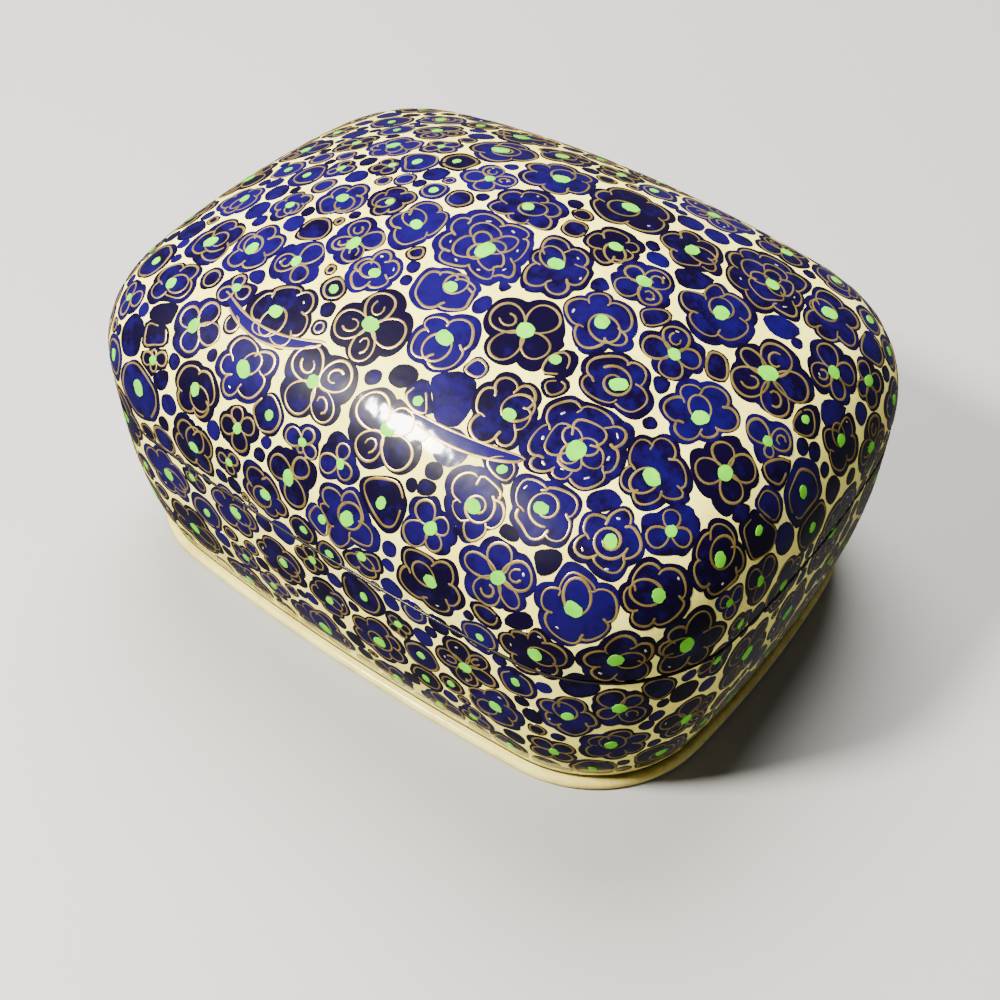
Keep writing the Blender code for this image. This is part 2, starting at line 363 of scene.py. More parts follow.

# Blossoms that show in the photograph, read off it: pixels across and down to the middle, the
# radius in millimetres, and how it is drawn. The square picture is 1000 pixels wide.
PICTURE_WIDTH = 1000
Seen = namedtuple("Seen", "across down radius_mm way")
SCALLOPS, PETALS, ROSE, DOUBLE = "scallops", "petals", "rose", "double"
RING, PLAIN, ANY = "ring", "plain", ""
SEEN_BLOSSOMS = tuple(Seen(*row) for row in (
    (215, 242, 6.5, ROSE), (255, 250, 6.5, SCALLOPS), (297, 264, 6.3, PETALS),
    (356, 241, 6.0, PETALS), (373, 272, 5.6, SCALLOPS), (334, 289, 2.9, RING),
    (280, 312, 7.6, SCALLOPS), (372, 326, 8.0, PETALS), (238, 291, 4.4, PETALS),
    (255, 278, 2.4, PLAIN), (174, 284, 6.0, SCALLOPS), (130, 299, 4.6, PETALS),
    (164, 312, 3.6, PLAIN), (196, 327, 6.2, PETALS), (154, 360, 4.0, PETALS),
    (241, 201, 5.5, SCALLOPS), (290, 206, 4.5, SCALLOPS), (343, 199, 5.5, SCALLOPS),
    (392, 201, 5.0, SCALLOPS), (309, 175, 4.5, RING), (340, 169, 3.8, ANY), (389, 167, 4.0, ANY),
    (355, 144, 5.0, ANY), (340, 132, 4.0, ANY), (315, 230, 3.6, PLAIN), (152, 250, 3.5, ANY),
    (132, 335, 4.0, PLAIN), (155, 336, 4.0, PLAIN), (139, 392, 6.5, RING),
    (197, 391, 6.0, SCALLOPS), (245, 370, 7.0, SCALLOPS), (160, 377, 2.6, PLAIN),
    (193, 445, 6.5, SCALLOPS), (240, 428, 5.0, PETALS), (268, 414, 3.8, RING),
    (317, 384, 8.0, PETALS), (303, 443, 4.6, PETALS), (292, 475, 6.5, PETALS),
    (264, 492, 6.0, SCALLOPS), (322, 518, 4.0, RING), (341, 462, 5.4, PETALS),
    (381, 501, 5.8, RING), (347, 520, 8.0, SCALLOPS), (362, 558, 5.0, SCALLOPS),
    (235, 511, 6.5, SCALLOPS), (207, 512, 4.5, ANY), (282, 562, 6.5, ANY), (312, 560, 4.0, ANY),
    (363, 595, 5.0, ANY), (246, 557, 4.0, ANY), (386, 432, 8.6, PETALS), (417, 402, 4.2, RING),
    (454, 397, 5.2, PLAIN), (507, 412, 7.6, SCALLOPS), (446, 340, 6.8, SCALLOPS),
    (450, 286, 7.0, SCALLOPS), (485, 247, 10.5, DOUBLE), (417, 224, 6.6, SCALLOPS),
    (434, 191, 3.0, RING), (489, 179, 5.5, ANY), (528, 208, 7.5, SCALLOPS),
    (555, 267, 7.8, SCALLOPS), (560, 178, 8.0, ANY), (631, 208, 9.0, SCALLOPS),
    (615, 247, 6.0, SCALLOPS), (575, 229, 2.8, PLAIN), (643, 283, 6.5, PETALS),
    (600, 323, 7.6, SCALLOPS), (526, 332, 8.5, PETALS), (557, 361, 3.8, RING),
    (616, 384, 7.4, ROSE), (655, 319, 3.4, PLAIN), (598, 286, 2.2, PLAIN), (502, 282, 2.2, PLAIN),
    (480, 304, 2.4, PLAIN), (417, 252, 2.2, PLAIN), (475, 369, 2.6, PLAIN), (404, 379, 2.8, PLAIN),
    (555, 390, 3.0, PLAIN), (577, 445, 10.5, DOUBLE), (501, 471, 3.6, RING), (474, 504, 7.0, ROSE),
    (545, 507, 7.8, ROSE), (431, 527, 6.2, PETALS), (499, 576, 8.0, PETALS), (511, 534, 3.0, PLAIN),
    (427, 490, 2.0, PLAIN), (602, 502, 4.0, PLAIN), (608, 543, 7.4, ROSE), (548, 564, 3.4, PLAIN),
    (576, 608, 8.5, SCALLOPS), (657, 595, 7.6, SCALLOPS), (655, 475, 8.0, SCALLOPS),
    (671, 530, 6.4, PETALS), (700, 414, 7.6, SCALLOPS), (725, 470, 8.0, PETALS),
    (770, 443, 5.6, PETALS), (740, 509, 3.0, PLAIN), (717, 560, 7.2, SCALLOPS),
    (776, 465, 4.4, PLAIN), (805, 418, 3.8, RING), (772, 377, 9.0, PETALS),
    (720, 315, 8.4, SCALLOPS), (695, 252, 7.0, SCALLOPS), (770, 282, 10.5, DOUBLE),
    (697, 282, 4.2, ANY), (674, 352, 6.8, PETALS), (780, 324, 3.6, PLAIN),
    (828, 315, 8.0, SCALLOPS), (834, 371, 7.0, PETALS), (872, 350, 4.0, PLAIN),
    (716, 216, 8.0, ANY), (784, 252, 6.0, ANY), (820, 262, 5.0, ANY), (661, 385, 2.4, PLAIN),
    (715, 366, 3.4, PLAIN), (657, 260, 2.4, PLAIN), (740, 240, 2.6, PLAIN), (874, 312, 4.0, ANY),
    (870, 382, 5.0, PETALS), (842, 442, 6.0, ANY), (803, 492, 6.0, RING), (835, 417, 4.0, ANY),
    (757, 532, 5.0, RING), (812, 525, 5.0, ANY), (767, 507, 4.0, PLAIN), (761, 580, 5.0, ANY),
    (729, 602, 4.0, ANY), (690, 643, 8.0, SCALLOPS), (620, 659, 7.6, SCALLOPS),
    (716, 661, 4.0, ANY), (535, 652, 7.0, SCALLOPS), (430, 582, 7.5, SCALLOPS),
    (414, 612, 3.0, ANY), (422, 655, 4.0, RING), (466, 665, 7.0, PETALS), (452, 684, 3.0, RING),
    (496, 707, 6.5, SCALLOPS), (570, 717, 6.5, SCALLOPS), (620, 709, 6.5, PETALS),
    (552, 750, 5.0, PETALS), (509, 744, 4.0, RING), (614, 745, 6.5, SCALLOPS), (686, 717, 6.5, ANY),
    (443, 704, 5.0, PETALS), (520, 622, 3.5, PLAIN), (487, 612, 3.5, PLAIN), (580, 685, 3.5, PLAIN),
    (657, 690, 3.5, PLAIN), (534, 716, 2.5, PLAIN), (395, 675, 5.0, ANY), (392, 588, 2.5, PLAIN),
    (504, 151, 7.0, ANY), (440, 132, 6.0, ANY), (416, 163, 4.5, ANY), (392, 122, 5.0, ANY),
    (620, 175, 5.0, ANY),
))

# The radii above take in the gold lines' outer edge, so they are a little larger than the plan's.
SEEN_SHARE = 0.9

# A sight line is searched from this share of the camera's distance to this one, in this many steps.
SIGHT_NEAR, SIGHT_FAR, SIGHT_STEPS = 0.6, 1.6, 800

# Long thin leaves between them: pixels across and down to the middle, half the length in millimetres,
# the turn in degrees from the picture's right, anticlockwise over the skin, and the rise of the tips.
Leaf = namedtuple("Leaf", "across down half_length_mm turn bend_mm")
LEAF_HALF_WIDTH = 0.0009
SEEN_LEAVES = tuple(Leaf(*row) for row in ((462, 443, 9.5, -26, 1.2), (262, 334, 11.0, -34, 3.2)))


def camera_axes(view):
    """Where the camera stands, and its right, up and backward directions."""
    azimuth, elevation, roll = (math.radians(a) for a in (view.azimuth, view.elevation, view.roll))
    flat = math.cos(elevation)
    back = np.array([math.sin(azimuth) * flat, -math.cos(azimuth) * flat, math.sin(elevation)])
    right = np.cross((0, 0, 1), back) / flat
    up = np.cross(back, right)
    tilted = right * math.cos(roll) + up * math.sin(roll)
    return np.array(view.target) + back * view.distance, tilted, np.cross(back, tilted), back


def seen_on_skin(sizes, marks):
    """The marks that fall on the box, and where the sight line through each one first meets the skin."""
    eye, right, up, back = camera_axes(PICTURE_VIEW)
    half = PICTURE_WIDTH / 2
    per_pixel = FRAME_MM / PICTURE_VIEW.lens / PICTURE_WIDTH
    across = np.array([mark.across - half for mark in marks])[:, None] * per_pixel
    down = np.array([mark.down - half for mark in marks])[:, None] * per_pixel
    sight = across * right - down * up - back
    depth = np.linspace(SIGHT_NEAR, SIGHT_FAR, SIGHT_STEPS)[None, :, None] * PICTURE_VIEW.distance
    along = eye + depth * sight[:, None]
    inside = outside_by(sizes, along) < 0
    hit = inside.any(axis=1)
    if not hit.any():
        raise RuntimeError("None of the marks falls on the box")
    first = inside.argmax(axis=1)
    spots = along[np.arange(len(along)), first][hit]
    return [mark for mark, found in zip(marks, hit) if found], settled(sizes, spots)[0]


def set_out(sizes, paint, rng):
    """Centres, radii and ways of drawing of the blossoms, packed like pebbles round the seen ones.

    Each new one goes where it has room, near the tightest such place, so that the larger ones
    lie close together and the buds fill what is left.
    """
    spots = spots_on_skin(sizes, paint, rng, PLACES)
    room = spots[:, 2] - WALL_FOOT - paint.border + OVER_BORDER
    seen, placed = seen_on_skin(sizes, SEEN_BLOSSOMS)
    centres, ways = list(placed), [one.way for one in seen]
    radii = [one.radius_mm / 1000 * SEEN_SHARE for one in seen]
    for centre, radius in zip(centres, radii):
        room = np.minimum(room, np.linalg.norm(spots - centre, axis=1) - radius)
    for place, (count, least, most) in enumerate(BLOSSOM_SIZES):
        for radius in np.sort(rng.uniform(least, most, count))[::-1]:
            spare = room - radius - SPACING
            free = np.flatnonzero(spare > 0)
            if not free.size:
                continue
            loose = LOOSE_CHANCE if place == 0 else SNUG_CHANCE
            pick = free[np.argmin(spare[free] + rng.random(free.size) * loose)]
            centres.append(spots[pick])
            radii.append(radius)
            ways.append(ANY)
            room = np.minimum(room, np.linalg.norm(spots - spots[pick], axis=1) - radius)
    return np.array(centres), np.array(radii), ways


# Each blossom's map has this many directions, and this many steps of this length along each.
SPOKES = 64
RING_STEP = 0.0005
RINGS = 26


def polar_maps(sizes, centres, first_axis):
    """Points reached by walking straight over the skin from each centre, in every direction.

    Each step goes ahead along the skin, is settled back onto it, and turns the heading into the
    new tangent plane. The maps are indexed by blossom, ring and spoke.
    """
    _, normal = settled(sizes, centres)
    first = first_axis - np.sum(first_axis * normal, axis=1, keepdims=True) * normal
    first /= np.linalg.norm(first, axis=1, keepdims=True)
    second = np.cross(normal, first)
    angle = np.arange(SPOKES) * TURN / SPOKES
    ahead, aside = np.cos(angle)[None, :, None], np.sin(angle)[None, :, None]
    heading = ahead * first[:, None] + aside * second[:, None]
    here = np.repeat(centres[:, None], SPOKES, axis=1)
    rings = [here]
    for _ in range(RINGS):
        here, normal_here = settled(sizes, here + heading * RING_STEP, rounds=1)
        heading = heading - np.sum(heading * normal_here, axis=2, keepdims=True) * normal_here
        heading /= np.linalg.norm(heading, axis=2, keepdims=True)
        rings.append(here)
    return np.stack(rings, axis=1), first, second


def onto_skin(sizes, maps, blossom, flat, height):
    """Points of a blossom's own flat plan, laid over the skin and raised along its normal."""
    ring = np.clip(np.hypot(flat[:, 0], flat[:, 1]) / RING_STEP, 0, RINGS - 1e-6)
    spoke = (np.arctan2(flat[:, 1], flat[:, 0]) % TURN) / TURN * SPOKES
    inner, before = ring.astype(int), spoke.astype(int) % SPOKES
    out, on = (ring - inner)[:, None], (spoke - spoke.astype(int))[:, None]
    after = (before + 1) % SPOKES
    near = maps[blossom, inner, before] * (1 - on) + maps[blossom, inner, after] * on
    far = maps[blossom, inner + 1, before] * (1 - on) + maps[blossom, inner + 1, after] * on
    points, normal = settled(sizes, near * (1 - out) + far * out)
    return points + normal * height[:, None]


# Radii above which a blossom has two rings of lobes, is a full flower, or has at least a ring, and
# below which a bud hardly ever has a line.
LARGE, FLOWER, SMALL, BUD = 0.0076, 0.0044, 0.0029, 0.0018

# Flowers from this radius have one more lobe.
MORE_LOBES = 0.0055

# How deep the blue is notched between the lobes, and how often a lobe has a pale touch.
NOTCH_DEPTH = {DOUBLE: 0.12, SCALLOPS: 0.2, PETALS: 0.25, ROSE: 0.18, RING: 0.06, PLAIN: 0.06}
TOUCH_CHANCE = {DOUBLE: 0.8, SCALLOPS: 0.12, PETALS: 0.12, ROSE: 0.08, RING: 0.0, PLAIN: 0.0}

# Points of the blue's outline on a flower, a small one and a bud, and how uneven it is: the share of
# its reach, and how many waves go round it. It runs this much over its cell's edge.
OUTLINE_POINTS = 72, 40, 18
UNEVEN = ((0.03, 2), (0.015, 5))
OVER_CELL = 1.03

# A pale touch's half angle, and how far out it lies as a share of the reach.
TOUCH_HALF_ANGLE, TOUCH_OUT = (0.03, 0.06), (0.64, 0.74)

# A bud's line goes round this much of a turn, at this share of its reach, with less of a margin. Its
# chance to go without one is the first when it is small and the second when it is larger.
BUD_ARC, BUD_REACH, BUD_MARGIN, BUD_POINTS = (0.84, 1.03), (0.78, 0.98), 0.6, 30
NO_LINE_CHANCE = 0.9, 0.55

# Neighbours further off than this don't bear on a cell. A flower's own limit is this share of its
# radius, no cell is narrower than this, and a higher power makes its corners sharper.
NEIGHBOUR_REACH = 0.006
OWN_LIMIT = 1.14
LEAST_REACH = 0.0004
CORNER_POWER = 8.0

# A direction that doesn't lean towards a neighbour, or doesn't drop towards the border, has no limit.
LEAST_LEAN = 1e-5
LEAST_DROP = 0.05
NO_LIMIT = 1.0


def cell_edges(paint, centres, radii, first, second):
    """How far each blossom's blue reaches along each spoke.

    Between two blossoms the edge is where the distances to both, less their radii, are equal,
    and half the overlap further. All such edges and the blossom's own limit are joined by a soft
    minimum, the inverse power sum, which rounds the cell's corners.
    """
    angle = np.arange(SPOKES) * TURN / SPOKES
    edges = np.empty((len(centres), SPOKES))
    floor = WALL_FOOT + paint.border
    for i, centre in enumerate(centres):
        apart = centres - centre
        distance = np.linalg.norm(apart, axis=1)
        near = np.flatnonzero((distance > 0) & (distance < radii + radii[i] + NEIGHBOUR_REACH))
        towards = np.arctan2(apart[near] @ second[i], apart[near] @ first[i])
        span, lead = distance[near, None], (radii[i] - radii[near])[:, None]
        facing = span * np.cos(angle[None] - towards[:, None]) - lead
        halfway = (span**2 - lead**2) / (2 * np.maximum(facing, LEAST_LEAN))
        limit = np.where(facing > LEAST_LEAN, halfway, NO_LIMIT)
        limit = np.maximum(limit + paint.overlap / 2, LEAST_REACH)
        drop = -(np.cos(angle) * first[i, 2] + np.sin(angle) * second[i, 2])
        down = np.where(drop > LEAST_DROP, (centre[2] - floor) / np.maximum(drop, LEAST_DROP), NO_LIMIT)
        own = np.full((1, SPOKES), radii[i] * (OWN_LIMIT if radii[i] > SMALL else 1.0))
        every = np.concatenate([limit, np.maximum(down, LEAST_REACH)[None], own])
        edges[i] = np.sum(every**-CORNER_POWER, axis=0) ** (-1 / CORNER_POWER)
    return edges


def along_edge(edge, angle):
    """The cell's reach at any angle, between its spokes."""
    spoke = (np.asarray(angle) % TURN) / TURN * SPOKES
    before = spoke.astype(int) % SPOKES
    on = spoke - spoke.astype(int)
    return edge[before] * (1 - on) + edge[(before + 1) % SPOKES] * on


def polar(radius, angle):
    """Flat points at these radii and angles."""
    return np.column_stack([radius * np.cos(angle), radius * np.sin(angle)])


# Lobes differ in width by these shares. The lower a swell's power, the rounder its lobe.
LOBE_WIDTHS = (0.7, 1.35)
LOBE_POWER, SCALLOP_POWER = 0.6, 0.5


def lobe_ends(rng, lobes):
    """Where the notches between a blossom's lobes lie, as growing angles over one turn."""
    widths = rng.uniform(*LOBE_WIDTHS, lobes)
    return rng.uniform(0, TURN) + np.concatenate([[0.0], np.cumsum(widths) / widths.sum() * TURN])


def lobe_swell(angle, ends):
    """A power of a sine over each lobe: nothing at the notches, one in the middle."""
    turned = (angle - ends[0]) % TURN
    place = np.clip(np.searchsorted(ends - ends[0], turned, side="right") - 1, 0, len(ends) - 2)
    t = (turned + ends[0] - ends[place]) / (ends[place + 1] - ends[place])
    return np.abs(np.sin(math.pi * np.clip(t, 0, 1))) ** LOBE_POWER


# A scallop's line starts and ends at these shares of its lobe, so that many hook past the notch, and
# runs at this share of its full reach.
SCALLOP_START, SCALLOP_END, SCALLOP_REACH = (-0.02, 0.05), (1.0, 1.14), (0.94, 1.0)
SCALLOP_POINTS, OVAL_POINTS, SPIRAL_POINTS = 40, 48, 70


def scalloped_strokes(rng, edge, ends, share, cusp, margin):
    """Rounded strokes side by side, each swelling as a power of a sine and hooked at its end."""
    strokes = []
    for start, end in zip(ends[:-1], ends[1:]):
        t = np.linspace(rng.uniform(*SCALLOP_START), rng.uniform(*SCALLOP_END), SCALLOP_POINTS)
        angle = start + (end - start) * t
        swell = np.abs(np.sin(math.pi * t)) ** SCALLOP_POWER * np.where(t > 1, -0.5, 1)
        reach = (along_edge(edge, angle) - margin) * share
        strokes.append(polar(reach * (cusp + (1 - cusp) * swell) * rng.uniform(*SCALLOP_REACH), angle))
    return strokes


def oval_stroke(centre, long_half, short_half, turn, start, sweep, shrink=0.0, egg=0.0):
    """An oval drawn from one angle over a sweep, closing in like a spiral, and fuller at its far end."""
    along = np.linspace(0, 1, OVAL_POINTS)
    angle = start + along * sweep
    scale = 1 - shrink * along
    u = long_half * np.cos(angle) * scale
    v = short_half * np.sin(angle) * scale * (1 + egg * np.cos(angle))
    across, up = math.cos(turn), math.sin(turn)
    return np.column_stack([centre[0] + u * across - v * up, centre[1] + u * up + v * across])


# A ring beside a green middle: its half length as a share of the blossom, its own middle and its half
# width as shares of that half length.
RING_LONG, RING_MIDDLE, RING_WIDE = (0.34, 0.46), (0.45, 0.85), (0.72, 0.9)


def ring_beside_dot(rng, size):
    """An oval ring whose line passes the middle."""
    share = rng.uniform(*RING_LONG)
    turn = rng.uniform(0, TURN)
    centre = np.array([math.cos(turn), math.sin(turn)]) * size * share * rng.uniform(*RING_MIDDLE)
    short_half = size * share * rng.uniform(*RING_WIDE)
    return oval_stroke(centre, size * share, short_half, turn, rng.uniform(0, TURN), TURN * 1.03)


# A petal's middle and half length as shares of its reach, its half width as a share of its room, and
# how much fuller its far end is. Then the least reach of a petal that may have a curl inside, how
# often one has it, and the curl's half length and half width in the same shares.
PETAL_MIDDLE, PETAL_LONG, PETAL_WIDE, PETAL_EGG = 0.53, 0.46, 0.95, 0.22
CURL_FROM, CURL_CHANCE, CURL_LONG, CURL_WIDE = 0.0042, 0.45, 0.24, 0.5


def petal_strokes(rng, edge, ends, margin):
    """Closed egg-shaped petals that meet in the middle, some with a curl inside."""
    strokes = []
    for width, middle in zip(np.diff(ends), (ends[:-1] + ends[1:]) / 2):
        reach = float(along_edge(edge, middle)) - margin
        half = min(0.5 * reach * math.tan(min(width, 2.0) / 2), 0.42 * reach)
        centre = polar(np.array([reach * PETAL_MIDDLE]), np.array([middle]))[0]
        start = middle + math.pi + rng.uniform(-0.5, 0.5) - middle
        size = reach * PETAL_LONG, half * PETAL_WIDE
        strokes.append(oval_stroke(centre, *size, middle, start, TURN * 1.04, egg=PETAL_EGG))
        if reach > CURL_FROM and rng.random() < CURL_CHANCE:
            start = rng.uniform(-1, 1)
            size = reach * CURL_LONG, half * CURL_WIDE
            strokes.append(oval_stroke(centre, *size, middle, start, TURN * 0.7, shrink=0.3))
    return strokes


# How far in the notches of each way's scallops reach, as shares of the reach.
SCALLOP_CUSP, ROSE_CUSP = (0.62, 0.74), (0.66, 0.74)
OUTER_CUSP, INNER_CUSP, INNER_SHARE = (0.76, 0.82), (0.5, 0.6), 0.68

# A rose's spiral: its turns, and its first radius and growth as shares of the blossom.
ROSE_TURNS, ROSE_FIRST, ROSE_GROWTH = (1.2, 1.6), 0.18, 0.34

# A double blossom's loops: their middle, half length and half width as shares of the blossom.
LOOP_MIDDLE, LOOP_LONG, LOOP_WIDE = 0.2, 0.22, 0.18


def rose_strokes(rng, edge, size, ends, margin):
    """A spiral from the middle, its radius growing evenly with its turn, inside rounded scallops."""
    turns = rng.uniform(*ROSE_TURNS)
    along = np.linspace(0, 1, SPIRAL_POINTS)
    radius = size * (ROSE_FIRST + ROSE_GROWTH * along)
    spiral = polar(radius, rng.uniform(0, TURN) + turns * TURN * along)
    return [spiral] + scalloped_strokes(rng, edge, ends, 1.0, rng.uniform(*ROSE_CUSP), margin)


def double_strokes(rng, edge, size, ends, margin):
    """Outer scallops round an inner ring of them, and two or three loops that meet in the middle."""
    strokes = scalloped_strokes(rng, edge, ends, 1.0, rng.uniform(*OUTER_CUSP), margin)
    inner = lobe_ends(rng, int(rng.integers(4, 6)))
    strokes += scalloped_strokes(rng, edge, inner, INNER_SHARE, rng.uniform(*INNER_CUSP), margin)
    loops = int(rng.integers(2, 4))
    for turn in rng.uniform(0, TURN) + np.arange(loops) * TURN / loops:
        centre = polar(np.array([size * LOOP_MIDDLE]), np.array([turn]))[0]
        loop = size * LOOP_LONG, size * LOOP_WIDE
        strokes.append(oval_stroke(centre, *loop, turn, math.pi, TURN * 0.95))
    return strokes


# The share of flowers that are scalloped, or of small ones with petals, and the share with either.
FIRST_CHANCE, SECOND_CHANCE = 0.5, 0.8


def way_of_drawing(rng, size):
    """A way of drawing that suits the blossom's size."""
    chance = rng.random()
    if size > LARGE:
        return DOUBLE
    if size > FLOWER:
        return SCALLOPS if chance < FIRST_CHANCE else PETALS if chance < SECOND_CHANCE else ROSE
    if size > SMALL:
        return PETALS if chance < FIRST_CHANCE else RING
    return PLAIN


Drawing = namedtuple("Drawing", "outline strokes touches dotted")


def blue_outline(rng, edge, size, ends, depth):
    """The blue's outline: the cell's reach, notched by a power of a sine, and a little uneven."""
    spokes = OUTLINE_POINTS[0 if size > FLOWER else 1 if size > SMALL else 2]
    angle = np.arange(spokes) * TURN / spokes
    wave = OVER_CELL - depth * (1 - lobe_swell(angle, ends))
    for share, beats in UNEVEN:
        wave = wave + share * np.sin(beats * angle + rng.uniform(0, TURN))
    return polar(along_edge(edge, angle) * wave, angle)


def pale_touches(rng, edge, ends, chance):
    """Short pale dashes in the middle of some lobes, lying across them."""
    dashes = []
    for middle in (ends[:-1] + ends[1:]) / 2:
        if rng.random() < chance:
            angle = middle + np.linspace(-1, 1, 3) * rng.uniform(*TOUCH_HALF_ANGLE)
            out = float(along_edge(edge, middle)) * rng.uniform(*TOUCH_OUT)
            dashes.append(polar(out * np.ones(3), angle))
    return dashes


def blossom_drawing(rng, edge, size, way, margin):
    """One blossom: its blue outline, its lines, its touches and whether it has a green middle."""
    way = way or way_of_drawing(rng, size)
    low = 5 if size > MORE_LOBES else 4
    if way == DOUBLE:
        ends = lobe_ends(rng, int(rng.integers(7, 9)))
        strokes = double_strokes(rng, edge, size, ends, margin)
    elif way == SCALLOPS:
        ends = lobe_ends(rng, int(rng.integers(low, low + 2)))
        strokes = scalloped_strokes(rng, edge, ends, 1.0, rng.uniform(*SCALLOP_CUSP), margin)
        strokes.append(ring_beside_dot(rng, size))
    elif way == PETALS:
        ends = lobe_ends(rng, int(rng.integers(low - 1, low + 1)))
        strokes = petal_strokes(rng, edge, ends, margin)
    elif way == ROSE:
        ends = lobe_ends(rng, int(rng.integers(low - 1, low + 2)))
        strokes = rose_strokes(rng, edge, size, ends, margin)
    else:
        ends = lobe_ends(rng, 4)
        angle = np.linspace(0, TURN * rng.uniform(*BUD_ARC), BUD_POINTS) + rng.uniform(0, TURN)
        reach = along_edge(edge, angle) - margin * BUD_MARGIN
        strokes = [polar(reach * rng.uniform(*BUD_REACH), angle)]
        if way == PLAIN and rng.random() < NO_LINE_CHANCE[0 if size < BUD else 1]:
            strokes = []
    chance = TOUCH_CHANCE[way] if size >= FLOWER else 0.0
    outline = blue_outline(rng, edge, size, ends, NOTCH_DEPTH[way])
    return Drawing(outline, strokes, pale_touches(rng, edge, ends, chance), way != PLAIN)


def leaf_drawing(leaf):
    """A leaf: a long thin blue oval, bent as a parabola, with a gold line along each side."""
    half, bend, turn = leaf.half_length_mm / 1000, leaf.bend_mm / 1000, math.radians(leaf.turn)
    cos, sin = math.cos(turn), math.sin(turn)
    ahead, aside = np.array([cos, sin]), np.array([-sin, cos])

    def bent(along, out):
        off = LEAF_HALF_WIDTH * out + bend * along**2
        return (half * along)[:, None] * ahead + off[:, None] * aside

    angle = np.arange(48) * TURN / 48
    run = np.linspace(-1.02, 1.0, 40)
    wide = np.sqrt(np.clip(1 - run**2, 0, None))
    strokes = [bent(run, wide * 1.05 + 0.1), bent(run[4:] * 0.96, -wide[4:] - 0.2)]
    return Drawing(bent(np.cos(angle), np.sin(angle)), strokes, [], False)


def even_stroke(points, step):
    """The same line with evenly spaced points."""
    run = np.concatenate([[0.0], np.cumsum(np.hypot(*np.diff(points, axis=0).T))])
    even = np.linspace(0, run[-1], max(int(run[-1] / step), 2) + 1)
    return np.column_stack([np.interp(even, run, points[:, 0]), np.interp(even, run, points[:, 1])])


# A line runs on by this share of its width at both ends, where it is pinched to this share, and its
# width wavers by this share, with this much of a turn from one point to the next.
END_RUN, PINCH, WAVER, WAVER_STEP = 0.35, 0.4, 0.2, 0.45


# Lines differ in width by these shares, and pale touches are narrower by this one.
LINE_WIDTHS, PALE_NARROWER = (0.74, 1.08), 0.2


def stroke_beads(strokes, widths, paint, rng):
    """Each line as a low bead: its two edges sunk, its crest raised, pinched at both ends.

    Returns flat points, heights over the blue, the faces and which line each point belongs to.
    The bead's width wavers as a slow sine, as a loaded brush does.
    """
    flats, heights, quads, caps, counts = [], [], [], [], []
    first = 0
    for points, width in zip(strokes, widths):
        line = even_stroke(points, paint.line_step)
        ahead = np.gradient(line, axis=0)
        ahead /= np.linalg.norm(ahead, axis=1, keepdims=True)
        run_on = ahead[[0, -1]] * width * END_RUN
        line = np.concatenate([line[:1] - run_on[:1], line, line[-1:] + run_on[1:]])
        ahead = np.concatenate([ahead[:1], ahead, ahead[-1:]])
        side = np.column_stack([-ahead[:, 1], ahead[:, 0]])
        count = len(line)
        half = width / 2 * (1 + WAVER * np.sin(np.arange(count) * WAVER_STEP + rng.uniform(0, TURN)))
        half[[0, -1]] *= PINCH
        raised = np.full(count, paint.line_height)
        raised[[0, -1]] *= PINCH
        edge = line + side * half[:, None], line, line - side * half[:, None]
        flats.append(np.stack(edge, axis=1).reshape(-1, 2))
        sunk = np.full(count, -paint.sunk)
        heights.append(np.column_stack([sunk, raised, sunk]).ravel())
        here = first + 3 * np.arange(count - 1)[:, None]
        left, middle, right = here, here + 1, here + 2
        quads.append(np.concatenate([
            np.hstack([left, middle, middle + 3, left + 3]),
            np.hstack([middle, right, right + 3, middle + 3]),
            np.hstack([right, left, left + 3, right + 3]),
        ]))
        end = first + 3 * (count - 1)
        caps.append([[first, first + 2, first + 1], [end, end + 1, end + 2]])
        counts.append(3 * count)
        first += 3 * count
    return (*(np.concatenate(part) for part in (flats, heights, quads, caps)), owners(counts))


def owners(counts):
    """The number of the component that each point belongs to."""
    return np.repeat(np.arange(len(counts)), counts)


def disc_faces(first, rings, spokes):
    """Faces of a low closed disc: a pole, its rings and a pole below."""
    j = np.arange(spokes)
    k = (j + 1) % spokes
    ring = first + 1 + np.arange(rings)[:, None] * spokes
    last = ring[-1]
    top = np.column_stack([np.full(spokes, first), ring[0] + j, ring[0] + k])
    bottom = np.column_stack([np.full(spokes, first + 1 + rings * spokes), last + k, last + j])
    inner, outer = ring[:-1], ring[1:]
    bands = np.stack([inner + j, outer + j, outer + k, inner + k], axis=2).reshape(-1, 4)
    return np.concatenate([top, bottom]), bands


# A disc keeps its height up to this share of the way out, and its lower pole is this many times as
# deep as its rim.
FLAT_SHARE, POLE_DEPTH = 0.985, 6


def discs(outlines, centres, rings, tops, sunk, dome):
    """Flat painted discs: a pole, rings out to the outline, a rim sunk in the ground and a pole below.

    Returns what the lines' beads return, and each point's share of the way out.
    """
    flats, heights, tris, quads, counts, shares = [], [], [], [], [], []
    first = 0
    for outline, centre, ring_count, top in zip(outlines, centres, rings, tops):
        spokes = len(outline)
        share = np.linspace(0, 1, ring_count)[1:]
        share[-1] = FLAT_SHARE
        share = np.append(share, 1.0)
        points = centre + outline[None] * share[:, None, None]
        rise = top + dome * (1 - share**2)
        rise[-1] = -sunk
        flats.append(np.concatenate([[centre], points.reshape(-1, 2), [centre]]))
        heights.append(np.concatenate([[top + dome], np.repeat(rise, spokes), [-POLE_DEPTH * sunk]]))
        shares.append(np.concatenate([[0.0], np.repeat(share, spokes), [0.0]]))
        fan, bands = disc_faces(first, len(share), spokes)
        tris.append(fan)
        quads.append(bands)
        counts.append(len(flats[-1]))
        first += counts[-1]
    parts = (np.concatenate(part) for part in (flats, heights, quads, tris))
    return (*parts, owners(counts), np.concatenate(shares))


